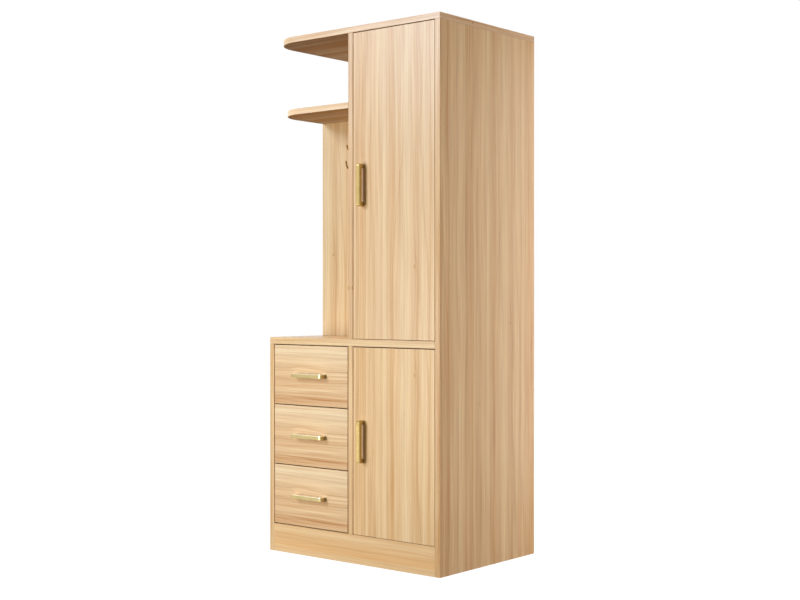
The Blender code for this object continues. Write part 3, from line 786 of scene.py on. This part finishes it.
@dataclass(frozen=True)
class MelamineBoard:
    """Melamine-faced board of the drawer boxes, pressed with a fine linen texture.

    It gives the eye a plain, pale, slightly speckled matt face.
    """

    base: str = "#E6D8C2"
    speckle: str = "#D9C8AE"
    roughness: float = 0.5
    roughness_swing: float = 0.12
    weave_mm: float = 0.9
    speckle_mm: float = 6.0
    relief: float = 0.00004

    def material(self) -> Material:
        """Make the material.

        Returns:
            The material.
        """
        coat = Coat.start("melamine_board_pressed")
        graph = coat.graph
        blotch = graph.add(
            "TexNoise", {"Vector": coat.place, "Scale": 1 / (self.speckle_mm * MM), "Detail": 4.0}
        )
        colour = graph.add(
            "Mix", {0: blotch, 6: linear(self.base), 7: linear(self.speckle)}, data_type="RGBA"
        ).outputs[2]
        weave = graph.add(
            "TexNoise", {"Vector": coat.place, "Scale": 1 / (self.weave_mm * MM), "Detail": 2.0}
        )
        smooth = self.roughness - self.roughness_swing / 2
        rough = graph.add("Math MULTIPLY_ADD", weave, self.roughness_swing, smooth)
        return coat.finish(colour, rough, weave, self.relief)


@dataclass(frozen=True)
class Hardboard:
    """Wet-pressed hardboard, left bare.

    It gives the eye a matt brown sheet with matted fibres and darker flecks. The fibres are
    drawn coarser than real ones so that they show.
    """

    pale: str = "#A07C54"
    dark: str = "#8A6642"
    roughness: float = 0.75
    roughness_swing: float = 0.2
    tangle: float = 2.0
    dark_to_pale: tuple[float, float] = (0.12, 0.4)
    fibre_mm: float = 1.6
    cloud_mm: float = 60.0
    relief: float = 0.0001

    def material(self) -> Material:
        """Make the material.

        Returns:
            The material.
        """
        coat = Coat.start("hardboard_pressed")
        graph = coat.graph
        fibre = graph.add("TexNoise", {
            "Vector": coat.place, "Scale": 1 / (self.fibre_mm * MM), "Detail": 3.0,
            "Distortion": self.tangle,
        })
        cloud = graph.add(
            "TexNoise", {"Vector": coat.place, "Scale": 1 / (self.cloud_mm * MM), "Detail": 2.0}
        )
        share = graph.add("Math MULTIPLY", fibre, cloud)
        share = graph.add("MapRange", share, *self.dark_to_pale)
        colour = graph.add(
            "Mix", {0: share, 6: linear(self.dark), 7: linear(self.pale)}, data_type="RGBA"
        ).outputs[2]
        smooth = self.roughness - self.roughness_swing / 2
        rough = graph.add("Math MULTIPLY_ADD", fibre, self.roughness_swing, smooth)
        return coat.finish(colour, rough, fibre, self.relief)


@dataclass(frozen=True)
class Metal:
    """A metal whose surface shows fine marks in one direction, and a little tarnish.

    Attributes:
        name: The metal and how its surface was made.
        bright: Its colour where it is clean.
        dull: Its colour where it has dulled.
        roughness: Its roughness where it is clean.
        roughness_swing: How much rougher the dull places are.
        mark_mm: The spacing of the marks along X, Y and Z.
        cloud_mm: The size of the dull places.
        relief: The depth of the marks.
        worn: Its colour along edges, where hands have rubbed it, and, for a metal with a painted
            top highlight, also on faces that look up.
        worn_width: How far from an edge it has been rubbed.
        worn_shine: How much smoother it is there.
        dull_share: How much of the surface has dulled, from 0 to 1.
        top_painted_highlight: Whether faces that look up get the worn colour too, as a painted
            highlight.
        clean_level: How high the clouding may go before the metal starts to dull.
        dull_reach: How much further the clouding goes until it is wholly dull.
        top_highlight_turn: How steeply a surface looks up where that painted highlight sets in and
            is full.
    """

    name: str
    bright: str
    dull: str
    roughness: float
    roughness_swing: float
    mark_mm: Triple
    cloud_mm: float
    relief: float
    worn: str
    worn_width: float = 0.0008
    worn_shine: float = 0.04
    dull_share: float = 0.5
    top_painted_highlight: bool = False
    clean_level: float = 0.65
    dull_reach: float = 0.3
    top_highlight_turn: tuple[float, float] = (0.2, 0.6)

    def material(self) -> Material:
        """Make the material.

        Returns:
            The material.
        """
        coat = Coat.start(self.name)
        graph = coat.graph
        finer = tuple(1 / (size * MM) for size in self.mark_mm)
        scaled = graph.add("VectorMath MULTIPLY", coat.place, finer)
        marks = graph.add("TexNoise", {"Vector": scaled, "Scale": 1.0, "Detail": 2.0})
        cloud = graph.add(
            "TexNoise", {"Vector": coat.place, "Scale": 1 / (self.cloud_mm * MM), "Detail": 3.0}
        )
        clean = self.clean_level - self.dull_reach * self.dull_share
        share = graph.add("MapRange", cloud, clean, clean + self.dull_reach)
        rub = graph.edge_share(self.worn_width)
        # Faces that look up can take the worn colour as a painted highlight, and are smoother there
        # too
        if self.top_painted_highlight:
            upper = graph.add("MapRange", coat.outward[2], *self.top_highlight_turn, **EASED)
            rub = graph.add("Math MAXIMUM", rub, upper)
        colour = graph.add(
            "Mix", {0: share, 6: linear(self.bright), 7: linear(self.dull)}, data_type="RGBA"
        ).outputs[2]
        colour = graph.add(
            "Mix", {0: rub, 6: colour, 7: linear(self.worn)}, data_type="RGBA"
        ).outputs[2]
        uneven = graph.add("Math ADD", marks, share)
        rough = graph.add("Math MULTIPLY_ADD", uneven, self.roughness_swing, self.roughness)
        rough = graph.add("Math MULTIPLY_ADD", rub, -self.worn_shine, rough)
        return coat.finish(colour, rough, marks, self.relief, Metallic=1.0)


def cover(node: str, material: Material) -> None:
    """Give a CAD node its finish.

    Args:
        node: The node's name.
        material: The finish.
    """
    thing = frame["nodes"][node]
    for slot in thing.material_slots:
        slot.material = material


def put(name: str, data: bpy.types.ID) -> bpy.types.Object:
    """Put an object into the scene.

    Args:
        name: Its name.
        data: Its mesh, lamp or camera.

    Returns:
        The object.
    """
    thing = bpy.data.objects.new(name, data)
    bpy.context.scene.collection.objects.link(thing)
    return thing


def put_mesh(name: str, shape: bmesh.types.BMesh, material: Material) -> bpy.types.Object:
    """Put a mesh of one material into the scene.

    Args:
        name: Its name.
        shape: Its shape, which is used up.
        material: The material.

    Returns:
        The object.
    """
    mesh = bpy.data.meshes.new(name)
    shape.to_mesh(mesh)
    shape.free()
    mesh.materials.append(material)
    return put(name, mesh)


# The fasteners


@dataclass(frozen=True)
class Screw:
    """The pan head of a screw, with a cross recess.

    Attributes:
        place: The middle of its seat.
        facing: The direction that the head looks in.
        radius: The head's radius.
        height: How far the head stands off its seat.
        ring_shares: The radii of the head's rings, as shares of its radius.
        wedge_turns: The spokes of a quarter of the head, in degrees from a wing's middle.
        wing_share: How far the recess's wings reach.
        core_share: The radius of the recess's core.
        recess_depth: How deep the recess is, as a share of the height.
        wing_turn: Half the angle that a wing takes up, in degrees.
        dome: How much lower the head's rim is than its middle, as a share of the height.
    """

    place: Vector
    facing: Vector
    radius: float = 0.0033
    height: float = 0.0018
    ring_shares: tuple[float, ...] = (0.18, 0.22, 0.58, 0.63, 0.8, 0.93, 1.0)
    wedge_turns: tuple[float, ...] = (-45, -30, -16, -12, 0, 12, 16, 30)
    wing_share: float = 0.6
    core_share: float = 0.2
    recess_depth: float = 0.75
    wing_turn: float = 12.0
    dome: float = 0.55

    def add_to(self, shape: bmesh.types.BMesh) -> None:
        """Add the head to a mesh.

        Args:
            shape: The mesh, in the wardrobe's frame.
        """
        turn = self.facing.to_track_quat("Z", "Y").to_matrix()
        spokes = [
            (math.radians(quarter + wedge), abs(wedge) <= self.wing_turn)
            for quarter in (0, 90, 180, 270) for wedge in self.wedge_turns
        ]

        def point(share: float, angle: float, lift: float) -> bmesh.types.BMVert:
            """Add a corner at a share of the radius, an angle and a lift."""
            local = Vector((math.cos(angle) * share, math.sin(angle) * share, lift / self.radius))
            return shape.verts.new(self.place + turn @ (local * self.radius))

        def lift_at(share: float, in_wing: bool) -> float:
            """Give the head's height at a share of its radius, in a wing or beside it."""
            sunk = share <= self.core_share or (in_wing and share <= self.wing_share)
            return self.height * (1.0 - self.dome * share ** 3 - self.recess_depth * sunk)

        middle = point(0.0, 0.0, lift_at(0.0, True))
        rings = [
            [point(share, angle, lift_at(share, in_wing)) for angle, in_wing in spokes]
            for share in self.ring_shares
        ]
        rings.append([point(1.0, angle, 0.0) for angle, _ in spokes])
        for number in range(len(spokes)):
            after = (number + 1) % len(spokes)
            shape.faces.new((middle, rings[0][number], rings[0][after]))
            for inner, outer in zip(rings, rings[1:]):
                shape.faces.new((inner[number], outer[number], outer[after], inner[after]))


@dataclass
class ScrewSet:
    """All screw heads of one kind on one body, kept in one piece.

    Attributes:
        name: The piece's name.
        body: The body that they move with.
        slot: The record's material slot; not used.
        finish: The metal.
        screws: The heads.
    """

    name: str
    body: str
    slot: str
    finish: Material
    screws: list[Screw] = field(default_factory=list)

    def add(self, place: Triple | Vector, facing: Axis, way: Way) -> None:
        """Add one head.

        Args:
            place: The middle of its seat.
            facing: The axis that the head looks along.
            way: Whether it looks with that axis or against it.
        """
        direction = Vector((0.0, 0.0, 0.0))
        direction[facing.value] = way.value
        self.screws.append(Screw(Vector(place), direction))

    def add_pull(self, pull: str, front: str, along: Axis, spacing: float) -> None:
        """Add the two heads that hold a pull, behind its front.

        Args:
            pull: The pull's node.
            front: The front's node.
            along: The axis that the pull runs along.
            spacing: The distance between its holes.
        """
        place = sum(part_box(pull), Vector()) / 2
        place.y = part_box(front)[1].y
        for shift in (-spacing / 2, spacing / 2):
            head = place.copy()
            head[along.value] += shift
            self.add(head, Axis.Y, Way.WITH_AXIS)

    def build(self) -> None:
        """Build the piece and let it ride on its body."""
        shape = bmesh.new()
        for screw in self.screws:
            screw.add_to(shape)
        bmesh.ops.recalc_face_normals(shape, faces=shape.faces)
        piece = put_mesh(self.name, shape, self.finish)
        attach(piece, self.body)
        log.info("%s: %d heads", self.name, len(self.screws))


# The wardrobe's assemblies


@dataclass
class Finishes:
    """All finishes of the wardrobe, made once."""

    foil: LarchFoil = field(init=False)
    drawer_board: Material = field(init=False)
    hardboard: Material = field(init=False)
    gold_level: Material = field(init=False)
    gold_upright: Material = field(init=False)
    brass: Material = field(init=False)
    zinc: Material = field(init=False)
    chrome: Material = field(init=False)

    def __post_init__(self) -> None:
        """Make every finish."""
        self.foil = LarchFoil(LarchPrint().group())
        self.drawer_board = MelamineBoard().material()
        self.hardboard = Hardboard().material()
        # Brushed along the bar, so the marks are long on that axis and fine on the others,
        # though drawn coarser than real ones so that they show
        # The level pulls' pale cream worn colour also covers their top faces, a painted highlight
        self.gold_level = Metal(
            "brushed_gold_zinc_level", "#BCAA78", "#AE9C68", 0.2, 0.03, (14.0, 0.5, 0.5), 30.0,
            0.000001, "#FFF8E4", top_painted_highlight=True,
        ).material()
        self.gold_upright = Metal(
            "brushed_gold_zinc_upright", "#BEA66C", "#AE965C", 0.2, 0.03, (0.5, 0.5, 14.0), 30.0,
            0.000001, "#E8D8A4",
        ).material()
        # Patinated and rubbed back, so it is nearly black with brassy places
        self.brass = Metal(
            "antique_brass_patinated", "#9A7440", "#5E431F", 0.36, 0.2, (3.0, 3.0, 3.0), 12.0,
            0.00003, "#B8904E", dull_share=0.7,
        ).material()
        # Bright zinc on pressed steel, clouded like frost
        self.zinc = Metal(
            "steel_zinc_plated", "#C9CCCB", "#A9AEB0", 0.28, 0.15, (4.0, 4.0, 4.0), 9.0,
            0.00001, "#D8DAD9", worn_width=0.0004,
        ).material()
        # Polished chrome on drawn tube, with faint drawing marks along it
        self.chrome = Metal(
            "steel_tube_chromed", "#DADCDD", "#CFD2D4", 0.07, 0.05, (60.0, 0.6, 0.6), 40.0,
            0.000002, "#E2E3E4", worn_shine=0.02,
        ).material()


@dataclass
class Carcass:
    """The fixed boards of the wardrobe, with the rail, its sockets and the coat hook."""

    finishes: Finishes
    front_y: float = -0.2545
    hook_height: float = 1.39
    hook_plate: float = 0.004
    hook_screw_rise: float = 0.026
    plate_margin: float = 0.0065
    plate_thick: float = 0.006
    plate_half: float = 0.0133
    socket_thick: float = 0.003
    socket_ring: float = 0.0192
    socket_turns: tuple[float, ...] = (90, 210, 330)
    cuts: dict[str, FoilCut] = field(default_factory=dict)

    def __post_init__(self) -> None:
        """Lay out where each board's foil was cut."""
        upright, level, rightwards = Axis.Z, Axis.X, Way.WITH_AXIS
        # Several cuts carry painted light and shade: the hook panel, deck and kick are tinted for
        # how they are lit, the upper centre panel's edge is darkened, and the top board and hall
        # shelf get darker undersides and a painted highlight on their front edges
        self.cuts = {
            "right_side_panel": FoilCut(
                upright, Axis.X, 0, 0, self.front_y, 1.78, edge_mm=600, ink=0.95
            ),
            "left_side_panel": FoilCut(upright, Axis.X, 150, 300, self.front_y, 0.728),
            "lower_centre_panel": FoilCut(upright, Axis.X, 60, 200, self.front_y, 0.728),
            "upper_centre_panel": FoilCut(
                upright, Axis.X, 120, 0, self.front_y, 1.78, edge_painted_light_and_shade=(0.95, 0.93, 1.0)
            ),
            "hook_panel": FoilCut(
                upright, Axis.Y, 335, 976, -0.36, 1.047, ink=0.7, painted_light_and_shade=(0.92, 0.975, 1.05)
            ),
            "top_board": FoilCut(
                level, Axis.Z, 40, 0, self.front_y, -0.38, along_way=rightwards, edge_mm=388,
                edge_painted_light_and_shade=(1.02, 1.04, 1.2), underside_painted_shade=(0.55, 0.55, 0.71),
            ),
            "deck_board": FoilCut(
                level, Axis.Z, 78, 250, self.front_y, -0.38, along_way=rightwards, edge_mm=386,
                painted_light_and_shade=(0.94, 0.93, 0.94), edge_painted_light_and_shade=(1.06, 1.07, 1.06),
            ),
            "bottom_board": FoilCut(
                level, Axis.Z, 10, 500, self.front_y, -0.38, along_way=rightwards
            ),
            "kick_board": FoilCut(
                level, Axis.Y, 450, 100, 0.097, -0.36, Way.AGAINST_AXIS, rightwards, ink=0.65,
                painted_light_and_shade=(1.05, 1.05, 1.05),
            ),
            "hall_shelf": FoilCut(
                level, Axis.Z, 130, 700, self.front_y, -0.36, along_way=rightwards, edge_mm=388,
                edge_painted_light_and_shade=(1.15, 1.21, 1.42), underside_painted_shade=(0.75, 0.79, 1.03),
            ),
            "lower_shelf": FoilCut(level, Axis.Z, 70, 800, self.front_y, 0.0, along_way=rightwards),
        }

    def dress(self) -> None:
        """Finish every fixed board and fitting."""
        for node, cut in self.cuts.items():
            cover(node, self.finishes.foil.material(node, cut))
        for node in ("upper_back_panel", "lower_back_panel"):
            cover(node, self.finishes.hardboard)
        for node in ("hanging_rail", "rail_socket_left", "rail_socket_right"):
            cover(node, self.finishes.chrome)
        cover("coat_hook", self.finishes.brass)
        self._hook_screws()
        self._fitting_screws()
        log.info("carcass: %d foiled boards, back panels, rail and hook", len(self.cuts))

    def _hook_screws(self) -> None:
        """Screw the coat hook's plate to its panel, above and below the prongs."""
        low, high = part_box("coat_hook")
        face_y = high.y - self.hook_plate
        heads = ScrewSet("coat_hook_screws", "carcass", "antique_brass", self.finishes.brass)
        for rise in (self.hook_screw_rise, -self.hook_screw_rise):
            place = ((low.x + high.x) / 2, face_y, self.hook_height + rise)
            heads.add(place, Axis.Y, Way.AGAINST_AXIS)
        heads.build()

    def _fitting_screws(self) -> None:
        """Screw the hinge plates and the rail sockets to the panels."""
        heads = ScrewSet("fitting_screws", "carcass", "zinc_steel", self.finishes.zinc)
        for door in ("upper_door", "lower_door"):
            for end in ("top", "bottom"):
                low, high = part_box(f"{door}_{end}_hinge_arm")
                for height in (low.z + self.plate_margin, high.z - self.plate_margin):
                    heads.add(
                        (high.x - self.plate_thick, high.y - self.plate_half, height),
                        Axis.X, Way.AGAINST_AXIS,
                    )
        for side, way in (("left", Way.WITH_AXIS), ("right", Way.AGAINST_AXIS)):
            low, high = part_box("rail_socket_" + side)
            wall_x = low.x if way is Way.WITH_AXIS else high.x
            seat_x = wall_x + way.value * self.socket_thick
            middle = (low + high) / 2
            for turn in map(math.radians, self.socket_turns):
                across, up = self.socket_ring * math.cos(turn), self.socket_ring * math.sin(turn)
                heads.add((seat_x, middle.y + across, middle.z + up), Axis.X, way)
        heads.build()


@dataclass
class Door:
    """One door with its pull and hinges."""

    finishes: Finishes
    name: str
    cut: FoilCut
    flange_margin: float = 0.0065
    hole_spacing: float = 0.128

    def dress(self) -> None:
        """Finish the door and its fittings."""
        cover(self.name, self.finishes.foil.material(self.name, self.cut))
        cover(self.name + "_pull", self.finishes.gold_upright)
        for end in ("top", "bottom"):
            for part in ("cup", "arm"):
                cover(f"{self.name}_{end}_hinge_{part}", self.finishes.zinc)
        heads = ScrewSet(self.name + "_screws", self.name, "zinc_steel", self.finishes.zinc)
        for end in ("top", "bottom"):
            low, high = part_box(f"{self.name}_{end}_hinge_cup")
            for height in (low.z + self.flange_margin, high.z - self.flange_margin):
                heads.add(((low.x + high.x) / 2, high.y, height), Axis.Y, Way.WITH_AXIS)
        heads.add_pull(self.name + "_pull", self.name, Axis.Z, self.hole_spacing)
        heads.build()
        log.info("%s: foil, pull and two hinges", self.name)


@dataclass
class Drawer:
    """One drawer with its box, pull and runners."""

    finishes: Finishes
    name: str
    top_z: float
    hole_spacing: float = 0.128

    def dress(self) -> None:
        """Finish the drawer and its fittings."""
        # The fronts are tinted lighter and bluer as painted light, and their edge bands and bottom
        # edges are darkened browner as painted shade that deepens the gaps between drawers
        cut = FoilCut(
            Axis.X, Axis.Y, 650, 1920, self.top_z, -0.357, Way.AGAINST_AXIS, Way.WITH_AXIS,
            ink=1.3, edge_gloss=0.0, painted_light_and_shade=(1.04, 1.065, 1.17), edge_painted_light_and_shade=(0.7, 0.52, 0.35),
            bottom_edge_painted_shade=(0.7, 0.5, 0.2),
        )
        cover(self.name + "_front", self.finishes.foil.material(self.name, cut))
        cover(self.name + "_pull", self.finishes.gold_level)
        for part in ("left_side", "right_side", "back"):
            cover(f"{self.name}_{part}", self.finishes.drawer_board)
        cover(self.name + "_bottom", self.finishes.hardboard)
        for side in ("left", "right"):
            for part in ("cabinet", "drawer"):
                cover(f"{self.name}_{side}_{part}_runner", self.finishes.zinc)
        heads = ScrewSet(self.name + "_screws", self.name, "zinc_steel", self.finishes.zinc)
        heads.add_pull(self.name + "_pull", self.name + "_front", Axis.X, self.hole_spacing)
        heads.build()
        log.info("%s: foil, box, pull and two pairs of runners", self.name)


# The studio


@dataclass(frozen=True)
class Softbox:
    """A rectangular softbox that faces the wardrobe.

    Attributes:
        name: Its name.
        azimuth: Its direction from the wardrobe in degrees, 0 in front, 90 on the right.
        rise: Its angle above the middle of the wardrobe, in degrees.
        distance: How far it stands from the middle of the wardrobe.
        size: Its width and height.
        watts: Its power.
        tint: Its colour.
    """

    name: str
    azimuth: float
    rise: float
    distance: float
    size: tuple[float, float]
    watts: float
    tint: str = "#FFFFFF"

    def build(self, target: Vector) -> None:
        """Add the lamp.

        Args:
            target: The point that it faces.
        """
        data = bpy.data.lights.new(self.name, "AREA")
        data.shape = "RECTANGLE"
        data.size, data.size_y = self.size
        data.energy = self.watts
        data.color = linear(self.tint)[:3]
        lamp = put(self.name, data)
        turn, lift = math.radians(self.azimuth), math.radians(self.rise)
        back = Vector((
            math.sin(turn) * math.cos(lift), -math.cos(turn) * math.cos(lift), math.sin(lift)
        ))
        lamp.location = target + back * self.distance
        lamp.rotation_euler = back.to_track_quat("Z", "Y").to_euler()
        lamp.visible_camera = False


@dataclass
class Studio:
    """The camera, the floor, the lamps and the world."""

    camera_place: Triple = (2.996, -3.621, 0.8917)
    camera_turn: float = math.radians(39.555)
    lens: float = 60.39
    sensor: float = 36.0
    shift_up: float = -0.0032
    floor_half: float = 30.0
    floor_sink: float = 0.0005
    floor_pale: str = "#6C5843"
    floor_glow: float = 0.938
    floor_shade: str = "#989898"
    target: Triple = (0.0, 0.0, 0.9)
    sky: float = 0.2
    # The key's mirror image lies on the upper fronts, the strip grazes the right side, and
    # the last three keep the sides that the photograph doesn't show from going dark
    lamps: tuple[Softbox, ...] = (
        Softbox("key_softbox", -29.0, 23.0, 6.0, (1.6, 1.6), 158.0, "#E2EEFF"),
        Softbox("low_front_softbox", -20.0, -6.0, 3.6, (1.2, 1.2), 59.0, "#FFF8E8"),
        Softbox("rear_strip", 158.0, 3.0, 1.8, (0.7, 2.0), 33.0, "#FFFDF4"),
        Softbox("side_softbox", 103.0, -4.0, 4.0, (1.5, 1.5), 38.5, "#FFE4C0"),
        Softbox("left_softbox", -96.0, 48.0, 4.0, (1.6, 1.6), 34.0),
        Softbox("back_softbox", 178.0, 40.0, 4.0, (1.5, 1.5), 42.0),
        Softbox("overhead_softbox", 0.0, 84.0, 2.7, (1.5, 1.5), 5.0),
    )

    def set_up(self) -> None:
        """Build the whole studio."""
        self._clear()
        self._camera()
        self._floor()
        for lamp in self.lamps:
            lamp.build(Vector(self.target))
        self._world()
        scene = bpy.context.scene
        scene.view_settings.view_transform = "Standard"
        log.info("studio: camera, floor, lamps and world")

    def _clear(self) -> None:
        """Remove what the start-up file holds beside the frame."""
        kept = {thing.name for group in ("bodies", "nodes") for thing in frame[group].values()}
        for thing in list(bpy.data.objects):
            if thing.name not in kept:
                bpy.data.objects.remove(thing, do_unlink=True)

    def _camera(self) -> None:
        """Add the camera, level and at the photograph's place."""
        data = bpy.data.cameras.new("camera")
        data.sensor_width = self.sensor
        data.lens = self.lens
        data.shift_y = self.shift_up
        camera = put("camera", data)
        camera.location = self.camera_place
        camera.rotation_euler = (math.radians(90), 0.0, self.camera_turn)
        bpy.context.scene.camera = camera

    def _floor(self) -> None:
        """Add the pale floor, which looks white and keeps the wardrobe's shadow."""
        material = bpy.data.materials.new("floor_pale")
        graph = Graph.afresh(material)
        seen = self._seen_share(graph)
        bounce = graph.add("BsdfDiffuse", {"Color": linear(self.floor_pale)})
        shade = graph.add("BsdfDiffuse", {"Color": linear(self.floor_shade)})
        glow = graph.add("Emission", {"Color": linear("#FFFFFF"), "Strength": self.floor_glow})
        shown = graph.add("AddShader", shade, glow)
        both = graph.add("MixShader", seen, bounce, shown)
        graph.add("OutputMaterial", {"Surface": both})
        shape = bmesh.new()
        bmesh.ops.create_grid(shape, x_segments=1, y_segments=1, size=self.floor_half)
        floor = put_mesh("floor", shape, material)
        floor.location.z = -self.floor_sink

    def _seen_share(self, graph: Graph) -> Node:
        """Add the nodes that are 1 for rays from the camera, in gloss and through glass.

        Args:
            graph: The graph that gets them.

        Returns:
            The node whose output is 1 or 0.
        """
        path = graph.add("LightPath")
        seen = graph.add(
            "Math MAXIMUM", path.outputs["Is Camera Ray"], path.outputs["Is Glossy Ray"]
        )
        return graph.add("Math MAXIMUM", seen, path.outputs["Is Transmission Ray"])

    def _world(self) -> None:
        """Make the world, white where it is seen and a softer light on the object."""
        world = bpy.data.worlds.new("studio")
        graph = Graph.afresh(world)
        seen = self._seen_share(graph)
        light = graph.add("Background", {"Color": linear("#FFFFFF"), "Strength": self.sky})
        white = graph.add("Background", {"Color": linear("#FFFFFF"), "Strength": 1.0})
        both = graph.add("MixShader", seen, light, white)
        graph.add("OutputWorld", {"Surface": both})
        bpy.context.scene.world = world


def main() -> None:
    """Build and dress the wardrobe, piece by piece, in its studio."""
    logging.basicConfig(level=logging.INFO, format="%(message)s")
    Studio().set_up()
    finishes = Finishes()
    Carcass(finishes).dress()
    # The doors are tinted as painted light, and the lower door's edge bands are darkened as painted
    # shade in the gaps around it
    upper = FoilCut(
        Axis.Z, Axis.Y, 125, 190, 0.013, 1.777, ink=0.76, edge_gloss=0.1, painted_light_and_shade=(1.01, 1.02, 1.08)
    )
    lower = FoilCut(
        Axis.Z, Axis.Y, 125, 976, 0.013, 0.64, ink=0.82, edge_gloss=0.1,
        painted_light_and_shade=(1.01, 1.0, 0.98), edge_painted_light_and_shade=(0.9, 0.75, 0.55),
    )
    Door(finishes, "upper_door", upper).dress()
    Door(finishes, "lower_door", lower).dress()
    for name, top_z in (("drawer_1", 0.725), ("drawer_2", 0.5157), ("drawer_3", 0.3063)):
        Drawer(finishes, name, top_z).dress()


if __name__ == "__main__":
    main()
